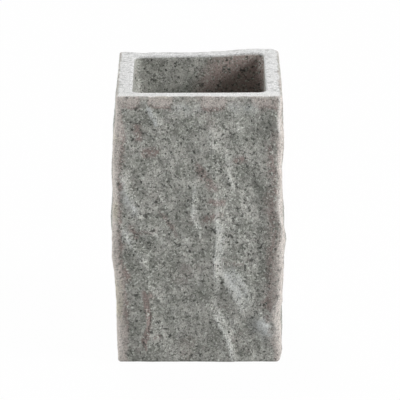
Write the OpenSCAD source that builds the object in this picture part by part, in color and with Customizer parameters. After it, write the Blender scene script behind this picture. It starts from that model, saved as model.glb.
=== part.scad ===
// Square bathroom tumbler: a cast stone cup with chipped faces and a sawn rim, on four round feet.
// Millimetres, +Z up. The origin is on the table, under the middle of the cup.

/* [Cup] */
// Outside width of the square rim
body_w = 70; // [60:1:90]
// Height of the rim above the table
body_h = 119; // [95:1:140]
// Thickness of the walls at the rim
wall = 7; // [5:0.5:10]
// Thickness of the cup's floor
cup_floor = 10; // [6:0.5:16]
// Radius of the upright outer corners at the rim
corner_r = 1.6; // [1.5:0.1:3]
// Radius of the most worn upright corners below the rim
worn_r = 4; // [2:0.1:5]
// Radius in the corners of the cavity and round its floor
cavity_r = 3.5; // [2:0.5:6]
// Rounding of the rim's outer edge
rim_round = 0.8; // [0.4:0.1:1.2]
// Rounding of the underside's outer edge
base_round = 1; // [0.4:0.1:1.2]

/* [Chipped faces] */
// How far the fullest face swells out past the rim
swell = 2.5; // [0:0.25:4]
// Height of the tallest crest between two chips
ridge = 1.5; // [0:0.1:2]
// How deep the chips between the crests lie
chip_sink = 0.1; // [0:0.05:0.5]
// Height of the shallow waves between the crests
ripple = 0.2; // [0:0.05:0.4]
// Height of the waves along the rim's back edge
rim_wave = 0.8; // [0:0.1:1.2]

/* [Feet] */
// Diameter of a foot
foot_d = 10; // [8:0.5:12]
// How far the feet hold the cup off the table
foot_stand = 0.5; // [0.3:0.1:1]
// Rounding of a foot's lower edge
foot_edge = 0.4; // [0.2:0.05:0.5]
// From the rim's outer faces in to a foot's centre
foot_inset = 13; // [10:0.5:18]
// Depth of the recess that a foot sits in
recess_depth = 1; // [0.8:0.1:2]
// Gap between a foot and the wall of its recess
recess_gap = 0.3; // [0.2:0.1:0.6]
// Thickness of the adhesive disc between a foot and the cup
adhesive_t = 0.2; // [0.1:0.05:0.3]
// How far the adhesive disc stays back from the foot's edge
adhesive_margin = 0.4; // [0.2:0.1:1]

/* [Hidden] */
half_w = body_w / 2;
side_h = body_h - foot_stand;
cavity_w = body_w - 2 * wall;
floor_z = foot_stand + cup_floor;
foot_h = foot_stand + recess_depth - adhesive_t;
foot_place = half_w - foot_inset;
cut_overrun = 2;

// Steps across a face, round a corner and up a side
face_steps = 20;
corner_steps = 3;
side_steps = 42;
round_fn = 64;

// Places on a face are [across, up]: across is a share of half the rim's width, from -1 to 1 with
// +1 on the right as one looks at the face, and up is a share of the side's height.

// Swell of each face at some heights, as [up, share of swell]: front, right, back, left
swell_shares = [
  [[0, 0], [0.12, 0.1], [0.35, 0.25], [0.6, 0.25], [0.85, 0.1], [1, 0]],
  [[0, -0.15], [0.035, 0.35], [0.1, 0.2], [0.18, 0.08], [0.215, 0.12], [0.25, 0.42], [0.29, 0.33],
   [0.37, 0.4], [0.42, 0.42], [0.46, 0.6], [0.49, 0.73], [0.515, 0.68], [0.56, 0.3], [0.6, 0.15],
   [0.64, 0.2], [0.69, 0.22], [0.76, 0.02], [0.81, 0.22], [0.87, 0.42], [0.92, 0.18],
   [0.965, 0.1], [1, -0.1]],
  [[0, 0], [0.2, 0.2], [0.45, 0.3], [0.7, 0.35], [0.9, 0.15], [1, 0]],
  [[0, -0.1], [0.04, 0], [0.1, 0.2], [0.16, 0.3], [0.22, 0.2], [0.27, 0.4], [0.33, 0.65],
   [0.38, 0.95], [0.52, 0.85], [0.6, 0.7], [0.67, 0.85], [0.78, 0.65], [0.85, 0.45], [0.93, 0.1],
   [1, -0.05]]];
// How far the swell of each face slides down from one end of the face to the other, most at mid
// height, and how far it wanders on the way, so that no level line runs round the cup
slant_shares = [0.12, 0.08, 0.15, -0.15];
wander_share = 0.06;
// The end of each face where its swell is as listed: the right and left faces start at the front
slant_starts = [-1, -1, -1, 1];

// Crests of a face, from the top: the [across, up] places that each runs through, its width to the
// left and to the right as shares of body_w, and its height as a share of ridge
front_crest_shares = [
  [[[-0.6, 0.957], [-0.55, 0.935], [-0.5, 0.915], [-0.46, 0.893]], 0.04, 0.03, 1],
  [[[0.09, 0.9], [0.11, 0.86], [0.13, 0.82], [0.14, 0.77]], 0.09, 0.08, 0.5],
  [[[0, 0.78], [0.08, 0.74], [0.17, 0.71]], 0.05, 0.04, 0.3],
  [[[0.32, 0.81], [0.33, 0.755], [0.335, 0.7], [0.37, 0.67], [0.4, 0.655]], 0.05, 0.04, 0.5],
  [[[0.45, 0.95], [0.42, 0.88], [0.46, 0.82]], 0.06, 0.05, 0.35],
  [[[-0.05, 0.69], [-0.08, 0.61], [-0.08, 0.56], [-0.04, 0.52], [0.02, 0.49]], 0.1, 0.05, 1.1],
  [[[-0.5, 0.66], [-0.42, 0.61], [-0.34, 0.57]], 0.05, 0.04, 0.3],
  [[[-0.25, 0.53], [-0.18, 0.48], [-0.12, 0.44]], 0.05, 0.04, 0.3],
  [[[0.16, 0.68], [0.19, 0.61], [0.2, 0.54], [0.2, 0.48], [0.18, 0.42], [0.18, 0.36], [0.2, 0.3],
    [0.24, 0.27]], 0.14, 0.08, 0.9],
  [[[0.19, 0.43], [0.19, 0.37], [0.2, 0.3], [0.22, 0.25]], 0.08, 0.05, 0.55],
  [[[0.25, 0.35], [0.31, 0.3], [0.38, 0.265], [0.45, 0.22], [0.51, 0.18]], 0.08, 0.13, 1.3],
  [[[0.12, 1], [0.15, 0.75], [0.16, 0.5], [0.15, 0.25], [0.2, 0]], 0.16, 0.17, 0.35],
  [[[0.7, 1.02], [0.76, 0.9], [0.68, 0.78], [0.62, 0.68], [0.7, 0.58], [0.66, 0.47], [0.73, 0.36],
    [0.66, 0.24], [0.6, 0.14], [0.68, 0]], 0.26, 0.17, -0.8],
  [[[0.13, 0.21], [0.19, 0.175], [0.25, 0.145], [0.31, 0.105], [0.36, 0.065], [0.41, 0.025],
    [0.44, -0.02]], 0.2, 0.06, 1.2],
  [[[-1.02, 0.73], [-0.92, 0.66], [-0.84, 0.61], [-0.75, 0.58], [-0.64, 0.535], [-0.53, 0.49],
    [-0.42, 0.455], [-0.33, 0.43]], 0.06, 0.06, 0.45],
  [[[-0.93, 0.735], [-0.87, 0.68], [-0.81, 0.632], [-0.75, 0.587]], 0.09, 0.08, 1.2],
  [[[-0.72, 0.55], [-0.64, 0.5], [-0.6, 0.46]], 0.05, 0.04, 0.35],
  [[[-1, 0.56], [-0.92, 0.52], [-0.86, 0.48], [-0.78, 0.44], [-0.68, 0.4], [-0.61, 0.35]],
   0.08, 0.06, 0.6],
  [[[-0.66, 0.42], [-0.61, 0.34], [-0.56, 0.28]], 0.05, 0.04, 0.25],
  [[[-0.66, 0.34], [-0.64, 0.26], [-0.63, 0.19], [-0.63, 0.12], [-0.6, 0.05], [-0.55, -0.02]],
   0.09, 0.16, 1.4],
  [[[-0.2, 0.42], [-0.1, 0.36], [0.02, 0.29], [0.1, 0.25]], 0.08, 0.04, 0.35],
  [[[-0.36, 0.24], [-0.3, 0.16], [-0.26, 0.08]], 0.08, 0.04, 0.3],
  [[[0.96, 1.12], [0.96, 1], [0.94, 0.92], [0.93, 0.85]], 0.1, 0.05, 1],
  [[[0.98, 0.76], [0.95, 0.6], [0.96, 0.45], [0.99, 0.3]], 0.16, 0.05, 0.5],
  [[[1, 0.29], [0.91, 0.22], [0.84, 0.17], [0.74, 0.11]], 0.05, 0.08, 0.7],
  [[[0.73, 0.2], [0.74, 0.16], [0.77, 0.12]], 0.04, 0.07, 0.8],
  [[[-0.5, 0.78], [-0.42, 0.72]], 0.03, 0.03, -0.3],
  [[[-0.66, 0.29], [-0.62, 0.21], [-0.6, 0.15], [-0.63, 0.11], [-0.65, 0.08], [-0.62, 0.03]],
   0.025, 0.025, -0.5]];
side_crest_shares = [
  [[[-0.62, 0.95], [-0.5, 0.87], [-0.4, 0.8], [-0.34, 0.7]], 0.05, 0.07, 0.1],
  [[[0.1, 0.98], [0.22, 0.9], [0.3, 0.84], [0.46, 0.78]], 0.04, 0.06, 0.5],
  [[[-0.3, 0.84], [-0.2, 0.72], [-0.02, 0.62], [0.06, 0.5]], 0.06, 0.08, -0.2],
  [[[0.52, 0.72], [0.6, 0.6], [0.74, 0.5], [0.78, 0.38]], 0.05, 0.07, 0.7],
  [[[-0.6, 0.56], [-0.56, 0.44], [-0.5, 0.36], [-0.44, 0.22]], 0.05, 0.07, 0.5],
  [[[-0.16, 0.42], [-0.04, 0.33], [0.1, 0.24], [0.22, 0.1]], 0.06, 0.09, 0.9],
  [[[0.46, 0.32], [0.5, 0.2], [0.6, 0.12], [0.62, 0.02]], 0.05, 0.06, 0.6],
  [[[-0.5, 0.2], [-0.42, 0.12], [-0.3, 0.02]], 0.05, 0.06, 0.6],
  [[[0.2, 0.56], [0.26, 0.46], [0.36, 0.36]], 0.03, 0.05, -0.5],
  [[[0.7, 0.94], [0.66, 0.8], [0.72, 0.66]], 0.05, 0.05, 0.6]];

// The back repeats the front's crests turned upside down, and the left face the right's
face_crest_shares = [front_crest_shares, side_crest_shares,
                     turned(front_crest_shares), turned(side_crest_shares)];
// How hollow the flanks to the left and the right of a crest are: 1 is flat
left_hollow = 1.3;
right_hollow = 2;
// How strongly the chips show at some heights: they fade at the rim and the underside
fade_shares = [[0, 0.4], [0.06, 1], [0.92, 1], [1, 0.2]];
// Waves across and up, per rim width
ripple_turns = [[2.3, 1.1], [0.8, -1.7], [4.1, 2.3]];
// Lift of the rim's back edge from left to right, as [across, share of rim_wave]
back_lift_shares = [[-1, 0.2], [-0.75, -0.6], [-0.3, -0.2], [0.1, 0.1], [0.3, 0.4], [0.45, 1.1],
                    [0.65, 1.7], [0.75, 1.8], [0.9, 1.8], [1, 1.2]];
// How far down the rim's waves reach into the sides: a higher power keeps them at the top
rim_wave_power = 10;
// How far each upright corner is worn from corner_r to worn_r, as [up, share]: the corner on the
// right of the front face, of the right face, of the back and of the left
worn_shares = [[[0, 0.2], [0.03, 0.8], [0.5, 0.6], [0.75, 0.6], [0.93, 1], [1, 0]],
               [[0, 0.2], [0.03, 0.8], [1, 0.6]],
               [[0, 0], [0.03, 0.4], [0.95, 0.4], [1, 0]],
               [[0, 0], [0.03, 0.4], [0.93, 0.4], [1, 0]]];

// The faces are 0 front, 1 right, 2 back and 3 left, and face 4 is face 0 again
function outward(face) = [sin(90 * face), -cos(90 * face)];
function sideways(face) = outward(face + 1);

function turned(crests) =
  [for (c = crests) let (places = c[0])
     [[for (i = [len(places) - 1:-1:0]) [-places[i][0], 1 - places[i][1]]], c[1], c[2], c[3]]];

// Height of one crest at a point of the face: sharp along its line, and faded at its ends
function crest_at(point, crest) =
  let (places = [for (place = crest[0]) [place[0] * half_w, place[1] * side_h]],
       steps = len(places) - 1)
  ridge * crest[3] * max([for (i = [0:steps - 1])
    let (run = places[i + 1] - places[i], reach = point - places[i],
         along = min(max(reach * run / (run * run), 0), 1),
         on_left = reach[0] * run[1] > reach[1] * run[0],
         width = body_w * (on_left ? crest[1] : crest[2]),
         aside = norm(reach - along * run) / width,
         from_middle = 2 * (i + along) / steps - 1)
    pow(max(0, 1 - aside), on_left ? left_hollow : right_hollow) * (1 - pow(from_middle, 4))]);

function crests_at(point, crests, i = 0) =
  i == len(crests) ? 0 : crest_at(point, crests[i]) + crests_at(point, crests, i + 1);

function ripple_at(face, point) =
  let (turn = 360 * point / body_w)
  ripple * (sin(turn * ripple_turns[0] + 90 * face) * sin(turn * ripple_turns[1] + 60 * face)
            + sin(turn * ripple_turns[2] - 90 * face) / 2);

// How far a face stands out past the rim's plane at a place on it
function swell_at(face, across, up) =
  let (f = face % 4, from_start = (across - slant_starts[f] * half_w) / body_w,
       slide = (slant_shares[f] * from_start + wander_share * sin(540 * from_start))
               * 4 * up * (1 - up))
  swell * lookup(up + slide, swell_shares[f]);

function chips_at(face, across, up) =
  let (point = [across, up * side_h], crests = face_crest_shares[face % 4])
  lookup(up, fade_shares) * (crests_at(point, crests) - chip_sink + ripple_at(face, point));

// Radius of the upright corner on the right of a face
function corner_radius(face, up) =
  corner_r + (worn_r - corner_r) * lookup(up, worn_shares[face % 4]);

// How far out the centre line of a corner of radius r lies, measured at one end of a face
function corner_place(face, end, up, r) = half_w + swell_at(face, end * half_w, up) - r;

// Points of one face and of the corner after it, anticlockwise seen from above
function face_points(face, up, inset) =
  let (out = outward(face), side = sideways(face),
       left_r = corner_radius(face + 3, up), right_r = corner_radius(face, up),
       low = -corner_place(face + 3, 1, up, left_r),
       high = corner_place(face + 1, -1, up, right_r),
       depth = corner_place(face, 1, up, right_r), edge_r = right_r - inset)
  concat(
    [for (i = [0:face_steps])
       let (across = low + (high - low) * i / face_steps,
            stand_out = swell_at(face, across, up) + chips_at(face, across, up))
       out * (half_w - inset + stand_out) + side * across],
    [for (i = [1:corner_steps - 1])
       let (turn = 90 * i / corner_steps, near = cos(turn), far = sin(turn))
       out * (depth + near * (edge_r + chips_at(face, high, up)))
       + side * (high + far * (edge_r + chips_at(face + 1, -depth, up)))]);

// The rim's waves fade from its back edge to its front
function rim_lift(place, up) =
  rim_wave * lookup(place[0] / half_w, back_lift_shares) * pow(up, rim_wave_power)
  * (half_w + place[1]) / body_w;

function ring(height, inset) =
  let (up = height / side_h)
  [for (face = [0:3]) for (place = face_points(face, up, inset))
     [place[0], place[1], foot_stand + height + rim_lift(place, up)]];

side_heights = [for (i = [0:side_steps])
                  base_round + (side_h - base_round - rim_round) * i / side_steps];
rings = concat([ring(0, base_round)], [for (height = side_heights) ring(height, 0)],
               [ring(side_h, rim_round)]);

// The cup's outside as one closed block
module chipped_block() {
  around = len(rings[0]);
  top = len(rings) - 1;
  base_centre = around * len(rings);
  points = concat([for (r = rings) each r], [[0, 0, foot_stand], [0, 0, body_h]]);
  sides = [for (j = [0:top - 1]) for (i = [0:around - 1])
             let (a = j * around + i, b = j * around + (i + 1) % around)
             each [[a, a + around, b + around], [a, b + around, b]]];
  ends = [for (i = [0:around - 1])
            let (a = i, b = (i + 1) % around)
            each [[base_centre, a, b],
                  [base_centre + 1, top * around + b, top * around + a]]];
  polyhedron(points, concat(sides, ends));
}

module rounded_square(w, r) {
  square([w - 2 * r, w], center = true);
  square([w, w - 2 * r], center = true);
  for (x = [-1, 1], y = [-1, 1])
    translate([x, y] * (w / 2 - r)) circle(r, $fn = round_fn);
}

// The water space: straight walls, with rounded corners and a rounded floor edge
module cavity() {
  flat_w = cavity_w - 2 * cavity_r;
  translate([0, 0, floor_z + cavity_r])
    linear_extrude(body_h + rim_wave + cut_overrun - floor_z - cavity_r)
      rounded_square(cavity_w, cavity_r);
  translate([0, 0, floor_z])
    linear_extrude(2 * cavity_r) square(flat_w, center = true);
  for (turn = [0:90:270])
    rotate([0, 0, turn]) translate([flat_w / 2, 0, floor_z + cavity_r]) {
      rotate([90, 0, 0]) cylinder(flat_w, r = cavity_r, center = true, $fn = round_fn);
      translate([0, flat_w / 2, 0]) sphere(cavity_r, $fn = round_fn);
    }
}

module at_foot(left_right, front_back) {
  translate([left_right, front_back, 0] * foot_place) children();
}

module body() {
  color([0.6, 0.6, 0.58])
    difference() {
      chipped_block();
      cavity();
      for (x = [-1, 1], y = [-1, 1])
        at_foot(x, y)
          translate([0, 0, foot_stand - cut_overrun])
            cylinder(recess_depth + cut_overrun, d = foot_d + 2 * recess_gap, $fn = round_fn);
    }
}

module adhesive(left_right, front_back) {
  color("ivory")
    at_foot(left_right, front_back)
      translate([0, 0, foot_h])
        cylinder(adhesive_t, d = foot_d - 2 * adhesive_margin, $fn = round_fn);
}

module foot(left_right, front_back) {
  foot_r = foot_d / 2;
  color([0.25, 0.25, 0.25])
    at_foot(left_right, front_back)
      rotate_extrude($fn = round_fn) {
        square([foot_r - foot_edge, foot_h]);
        translate([0, foot_edge]) square([foot_r, foot_h - foot_edge]);
        translate([foot_r - foot_edge, foot_edge]) circle(foot_edge, $fn = round_fn);
      }
}

body();
adhesive(-1, -1);  // adhesive_front_left
adhesive(1, -1);  // adhesive_front_right
adhesive(-1, 1);  // adhesive_back_left
adhesive(1, 1);  // adhesive_back_right
foot(-1, -1);  // foot_front_left
foot(1, -1);  // foot_front_right
foot(-1, 1);  // foot_back_left
foot(1, 1);  // foot_back_right
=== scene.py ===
"""A square bathroom tumbler of cast stone: chipped faces, a sawn rim and four soft round feet.

Metres, +Z up. The front face looks along -Y.
"""
import bmesh
import bpy
import math
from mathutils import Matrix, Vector, noise


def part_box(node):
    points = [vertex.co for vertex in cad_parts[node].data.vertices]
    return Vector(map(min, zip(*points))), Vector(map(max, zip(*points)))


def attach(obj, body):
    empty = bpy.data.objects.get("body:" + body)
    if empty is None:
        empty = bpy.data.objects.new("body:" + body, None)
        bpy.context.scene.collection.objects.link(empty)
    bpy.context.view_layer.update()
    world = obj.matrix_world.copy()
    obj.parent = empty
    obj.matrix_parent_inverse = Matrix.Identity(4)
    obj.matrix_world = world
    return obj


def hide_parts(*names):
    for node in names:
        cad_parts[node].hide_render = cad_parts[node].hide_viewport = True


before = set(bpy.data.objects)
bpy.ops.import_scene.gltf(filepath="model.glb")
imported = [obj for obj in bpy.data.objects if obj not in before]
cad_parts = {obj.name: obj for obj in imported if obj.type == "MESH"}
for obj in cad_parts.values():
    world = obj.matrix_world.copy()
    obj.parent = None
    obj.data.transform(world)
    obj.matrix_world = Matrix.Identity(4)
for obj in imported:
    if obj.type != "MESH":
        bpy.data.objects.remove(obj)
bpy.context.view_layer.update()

# Sizes of the cup
RIM_W = 0.070
HALF_W = RIM_W / 2
RIM_TOP = 0.119
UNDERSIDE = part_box("body")[0].z
SIDE_H = RIM_TOP - UNDERSIDE
WALL = 0.007
FLOOR_Z = UNDERSIDE + 0.010
CORNER_R = 0.0016
BASE_ROUND = 0.001
RIM_ROUND = 0.0008
MOUTH_ROUND = 0.001
CAVITY_R = 0.0035
RECESS_GAP = 0.0003
RECESS_DEPTH = 0.001

# Relief of the chipped faces
SWELL = 0.0025
RIDGE = 0.0015
SINK = 0.0005
RIPPLE = 0.0002
RIM_WAVE = 0.0008

# Corner radius of the inside at some distances from the middle: none on the floor, then round the
# cavity and its mouth, and as outside at the rim's outer edge
MOUTH = HALF_W - WALL
NO_ROUND = 0.0002
# The outline at the edge of the underside is taken as outside, whatever its rounding error
JUST_OVER = 1.01
INSIDE_RADII = ((MOUTH - CAVITY_R, NO_ROUND), (MOUTH, CAVITY_R),
                (MOUTH + MOUTH_ROUND, CAVITY_R + MOUTH_ROUND), (HALF_W - BASE_ROUND, CORNER_R))

# Mesh steps
CORNER_STEPS = 8
FACE_STEPS = 94
SIDE_STEPS = 168
INNER_STEPS = 30
RIM_STEPS = 8
ROUND_STEPS = 3
FILLET_STEPS = 5
RECESS_STEPS = 64
# Half widths of the outlines across the cavity's floor, as shares of the flat part
FLOOR_SHARES = (0.8, 0.6, 0.4, 0.2)
# Edges that turn by more than this stay sharp
SHARP_TURN = math.radians(50)

# Studio: where the lamps and the camera aim, the camera's place, lens and sensor in millimetres,
# then the name, place, size and power of each lamp
AIM = (0.00035, 0, 0.0621)
CAMERA_PLACE = (0.00035, -1.2653, 0.4847)
LENS = 277.6
SENSOR_W = 36
LAMPS = (
    ("key_lamp", (0.83, -0.3, 0.54), 0.36, 11.5),
    ("back_lamp", (-0.4, 1.25, 1.3), 0.6, 22),
    ("left_lamp", (-0.98, -0.12, 0.22), 0.35, 7),
)
WORLD_LIGHT = 0.04
FLOOR_GLOW = 0.98
PAPER_SIZE = 8
PAPER_ROUGHNESS = 0.9

FEET = [f"foot_{y}_{x}" for y in ("front", "back") for x in ("left", "right")]
ADHESIVES = [f"adhesive_{y}_{x}" for y in ("front", "back") for x in ("left", "right")]

# Swell of each face, as (up, share of SWELL): front, right, back, left
SWELL_SHARES = (
    ((0, 0), (0.12, 0.1), (0.35, 0.25), (0.6, 0.25), (0.85, 0.1), (1, 0)),
    ((0, -0.15), (0.035, 0.35), (0.1, 0.2), (0.18, 0.08), (0.215, 0.12), (0.25, 0.42), (0.29, 0.33),
     (0.37, 0.4), (0.42, 0.42), (0.46, 0.6), (0.49, 0.73), (0.515, 0.68), (0.56, 0.3), (0.6, 0.15),
     (0.64, 0.2), (0.69, 0.22), (0.76, 0.02), (0.81, 0.22), (0.87, 0.42), (0.92, 0.18), (0.965, 0.1),
     (1, -0.1)),
    ((0, 0), (0.2, 0.2), (0.45, 0.3), (0.7, 0.35), (0.9, 0.15), (1, 0)),
    ((0, -0.1), (0.04, 0), (0.1, 0.2), (0.16, 0.3), (0.22, 0.2), (0.27, 0.4), (0.33, 0.65),
     (0.38, 0.95), (0.52, 0.85), (0.6, 0.7), (0.67, 0.85), (0.78, 0.65), (0.85, 0.45), (0.93, 0.1),
     (1, -0.05)),
)
# How far the swell of each face slides down on its way across, the end where it is as listed, and
# how far and through how many degrees it wanders on the way
SLANT_SHARES = (0.12, 0.08, 0.15, -0.15)
SLANT_STARTS = (-1, -1, -1, 1)
WANDER_SHARE = 0.06
WANDER_DEGREES = 540

# Crests of a face, from the top: the (across, up) places that each runs through, its width to the
# left and to the right as shares of RIM_W, and its height as a share of RIDGE
FRONT_CRESTS = (
    (((-0.6, 0.957), (-0.55, 0.935), (-0.5, 0.915), (-0.46, 0.893)), 0.04, 0.03, 1),
    (((0.09, 0.9), (0.11, 0.86), (0.13, 0.82), (0.14, 0.77)), 0.09, 0.08, 0.5),
    (((0, 0.78), (0.08, 0.74), (0.17, 0.71)), 0.05, 0.04, 0.3),
    (((0.32, 0.81), (0.33, 0.755), (0.335, 0.7), (0.37, 0.67), (0.4, 0.655)), 0.05, 0.04, 0.5),
    (((0.45, 0.95), (0.42, 0.88), (0.46, 0.82)), 0.06, 0.05, 0.35),
    (((-0.05, 0.69), (-0.08, 0.61), (-0.08, 0.56), (-0.04, 0.52), (0.02, 0.49)), 0.1, 0.05, 1.1),
    (((-0.5, 0.66), (-0.42, 0.61), (-0.34, 0.57)), 0.05, 0.04, 0.3),
    (((-0.25, 0.53), (-0.18, 0.48), (-0.12, 0.44)), 0.05, 0.04, 0.3),
    (((0.16, 0.68), (0.19, 0.61), (0.2, 0.54), (0.2, 0.48), (0.18, 0.42), (0.18, 0.36), (0.2, 0.3),
      (0.24, 0.27)), 0.14, 0.08, 0.9),
    (((0.19, 0.43), (0.19, 0.37), (0.2, 0.3), (0.22, 0.25)), 0.08, 0.05, 0.55),
    (((0.25, 0.35), (0.31, 0.3), (0.38, 0.265), (0.45, 0.22), (0.51, 0.18)), 0.08, 0.13, 1.3),
    (((0.12, 1), (0.15, 0.75), (0.16, 0.5), (0.15, 0.25), (0.2, 0)), 0.16, 0.17, 0.35),
    (((0.7, 1.02), (0.76, 0.9), (0.68, 0.78), (0.62, 0.68), (0.7, 0.58), (0.66, 0.47), (0.73, 0.36),
      (0.66, 0.24), (0.6, 0.14), (0.68, 0)), 0.26, 0.17, -0.8),
    (((0.13, 0.21), (0.19, 0.175), (0.25, 0.145), (0.31, 0.105), (0.36, 0.065), (0.41, 0.025),
      (0.44, -0.02)), 0.2, 0.06, 1.2),
    (((-1.02, 0.73), (-0.92, 0.66), (-0.84, 0.61), (-0.75, 0.58), (-0.64, 0.535), (-0.53, 0.49),
      (-0.42, 0.455), (-0.33, 0.43)), 0.06, 0.06, 0.45),
    (((-0.93, 0.735), (-0.87, 0.68), (-0.81, 0.632), (-0.75, 0.587)), 0.09, 0.08, 1.2),
    (((-0.72, 0.55), (-0.64, 0.5), (-0.6, 0.46)), 0.05, 0.04, 0.35),
    (((-1, 0.56), (-0.92, 0.52), (-0.86, 0.48), (-0.78, 0.44), (-0.68, 0.4), (-0.61, 0.35)),
     0.08, 0.06, 0.6),
    (((-0.66, 0.42), (-0.61, 0.34), (-0.56, 0.28)), 0.05, 0.04, 0.25),
    (((-0.66, 0.34), (-0.64, 0.26), (-0.63, 0.19), (-0.63, 0.12), (-0.6, 0.05), (-0.55, -0.02)),
     0.09, 0.16, 1.4),
    (((-0.2, 0.42), (-0.1, 0.36), (0.02, 0.29), (0.1, 0.25)), 0.08, 0.04, 0.35),
    (((-0.36, 0.24), (-0.3, 0.16), (-0.26, 0.08)), 0.08, 0.04, 0.3),
    (((0.96, 1.12), (0.96, 1), (0.94, 0.92), (0.93, 0.85)), 0.1, 0.05, 1),
    (((0.98, 0.76), (0.95, 0.6), (0.96, 0.45), (0.99, 0.3)), 0.16, 0.05, 0.5),
    (((1, 0.29), (0.91, 0.22), (0.84, 0.17), (0.74, 0.11)), 0.05, 0.08, 0.7),
    (((0.73, 0.2), (0.74, 0.16), (0.77, 0.12)), 0.04, 0.07, 0.8),
    (((-0.5, 0.78), (-0.42, 0.72)), 0.03, 0.03, -0.3),
    (((-0.66, 0.29), (-0.62, 0.21), (-0.6, 0.15), (-0.63, 0.11), (-0.65, 0.08), (-0.62, 0.03)),
     0.025, 0.025, -0.5),
)
SIDE_CRESTS = (
    (((-0.62, 0.95), (-0.5, 0.87), (-0.4, 0.8), (-0.34, 0.7)), 0.05, 0.07, 0.1),
    (((0.1, 0.98), (0.22, 0.9), (0.3, 0.84), (0.46, 0.78)), 0.04, 0.06, 0.5),
    (((-0.3, 0.84), (-0.2, 0.72), (-0.02, 0.62), (0.06, 0.5)), 0.06, 0.08, -0.2),
    (((0.52, 0.72), (0.6, 0.6), (0.74, 0.5), (0.78, 0.38)), 0.05, 0.07, 0.7),
    (((-0.6, 0.56), (-0.56, 0.44), (-0.5, 0.36), (-0.44, 0.22)), 0.05, 0.07, 0.5),
    (((-0.16, 0.42), (-0.04, 0.33), (0.1, 0.24), (0.22, 0.1)), 0.06, 0.09, 0.9),
    (((0.46, 0.32), (0.5, 0.2), (0.6, 0.12), (0.62, 0.02)), 0.05, 0.06, 0.6),
    (((-0.5, 0.2), (-0.42, 0.12), (-0.3, 0.02)), 0.05, 0.06, 0.6),
    (((0.2, 0.56), (0.26, 0.46), (0.36, 0.36)), 0.03, 0.05, -0.5),
    (((0.7, 0.94), (0.66, 0.8), (0.72, 0.66)), 0.05, 0.05, 0.6),
)
# Pink veins and patches, in the same form: their last value is how strongly they show
FRONT_PINKS = (
    (((-0.96, 0.985), (-0.84, 0.98), (-0.7, 0.99)), 0.07, 0.07, 1.3),
    (((-0.6, 0.99), (-0.46, 0.982), (-0.32, 0.985)), 0.075, 0.075, 2.2),
    (((0.02, 0.985), (0.16, 0.975), (0.33, 0.98)), 0.075, 0.075, 2),
    (((-0.73, 0.9), (-0.71, 0.865), (-0.69, 0.83)), 0.06, 0.06, 0.9),
    (((0.6, 0.98), (0.8, 0.98), (1, 0.96)), 0.07, 0.07, 1),
    (((-0.68, 0.79), (-0.57, 0.8), (-0.45, 0.79)), 0.07, 0.07, 1),
    (((-0.04, 0.77), (0.09, 0.7), (0.22, 0.65)), 0.05, 0.05, 0.8),
    (((0.36, 0.75), (0.5, 0.77), (0.62, 0.78)), 0.06, 0.06, 0.7),
    (((0.08, 0.62), (0.2, 0.61), (0.33, 0.61)), 0.05, 0.05, 0.8),
    (((0, 0.54), (0.15, 0.56), (0.3, 0.57)), 0.05, 0.05, 0.8),
    (((-0.48, 0.59), (-0.37, 0.54), (-0.3, 0.51), (-0.22, 0.46)), 0.03, 0.03, 0.8),
    (((-0.74, 0.5), (-0.6, 0.5), (-0.46, 0.5)), 0.03, 0.03, 0.7),
    (((-0.88, 0.38), (-0.84, 0.34), (-0.82, 0.3)), 0.05, 0.05, 0.8),
    (((-0.67, 0.29), (-0.65, 0.265), (-0.62, 0.21), (-0.6, 0.15), (-0.63, 0.11), (-0.65, 0.08),
      (-0.62, 0.03)), 0.03, 0.03, 1.7),
    (((-0.62, 0.28), (-0.57, 0.26), (-0.52, 0.25)), 0.04, 0.04, 0.7),
    (((-0.78, 0.53), (-0.74, 0.5), (-0.69, 0.47)), 0.04, 0.04, 0.8),
    (((-0.56, 0.1), (-0.5, 0.1), (-0.46, 0.11)), 0.04, 0.04, 0.7),
    (((0.15, 0.21), (0.3, 0.21), (0.5, 0.21)), 0.035, 0.035, 0.5),
    (((0.78, 0.26), (0.88, 0.22), (0.98, 0.17)), 0.07, 0.07, 1),
    (((0.1, 0.37), (0.35, 0.38), (0.68, 0.39)), 0.08, 0.08, 0.35),
    (((-0.9, 1), (-0.9, 0.75), (-0.91, 0.5), (-0.88, 0.25), (-0.86, 0)), 0.05, 0.05, 0.8),
    (((0.87, 1), (0.85, 0.82), (0.89, 0.7), (0.86, 0.5), (0.86, 0.3), (0.84, 0.15), (0.88, 0)),
     0.09, 0.06, 0.6),
)
# Painted highlights of the front: lit patches, beside the lines along its crests
FRONT_HIGHLIGHTS = (
    (((0.24, 0.36), (0.33, 0.33), (0.42, 0.29), (0.48, 0.25), (0.54, 0.2)), 0.05, 0.11, 1.5),
    (((0.32, 0.37), (0.43, 0.34), (0.51, 0.29), (0.56, 0.24), (0.59, 0.19)), 0.08, 0.07, 1.3),
    (((-0.9, 0.67), (-0.85, 0.642), (-0.8, 0.612), (-0.74, 0.58), (-0.7, 0.56)), 0.05, 0.05, 2.2),
    (((-0.87, 0.53), (-0.84, 0.49), (-0.81, 0.465), (-0.74, 0.445)), 0.035, 0.035, 1.3),
    (((-0.63, 0.962), (-0.59, 0.95), (-0.56, 0.932), (-0.52, 0.91), (-0.49, 0.893)), 0.014, 0.018, 4.5),
    (((-0.34, 0.965), (-0.1, 0.955), (0.05, 0.965)), 0.06, 0.06, 1.1),
    (((0.34, 0.96), (0.52, 0.965), (0.7, 0.96)), 0.07, 0.07, 1.3),
    (((0.12, 0.26), (0.3, 0.17), (0.45, 0.14)), 0.04, 0.04, 0.5),
    (((0.68, 0.165), (0.76, 0.145), (0.8, 0.13), (0.88, 0.125)), 0.1, 0.1, 2.8),
    (((0.22, 0.55), (0.25, 0.47), (0.25, 0.4), (0.22, 0.34)), 0.05, 0.07, 0.8),
)
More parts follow.
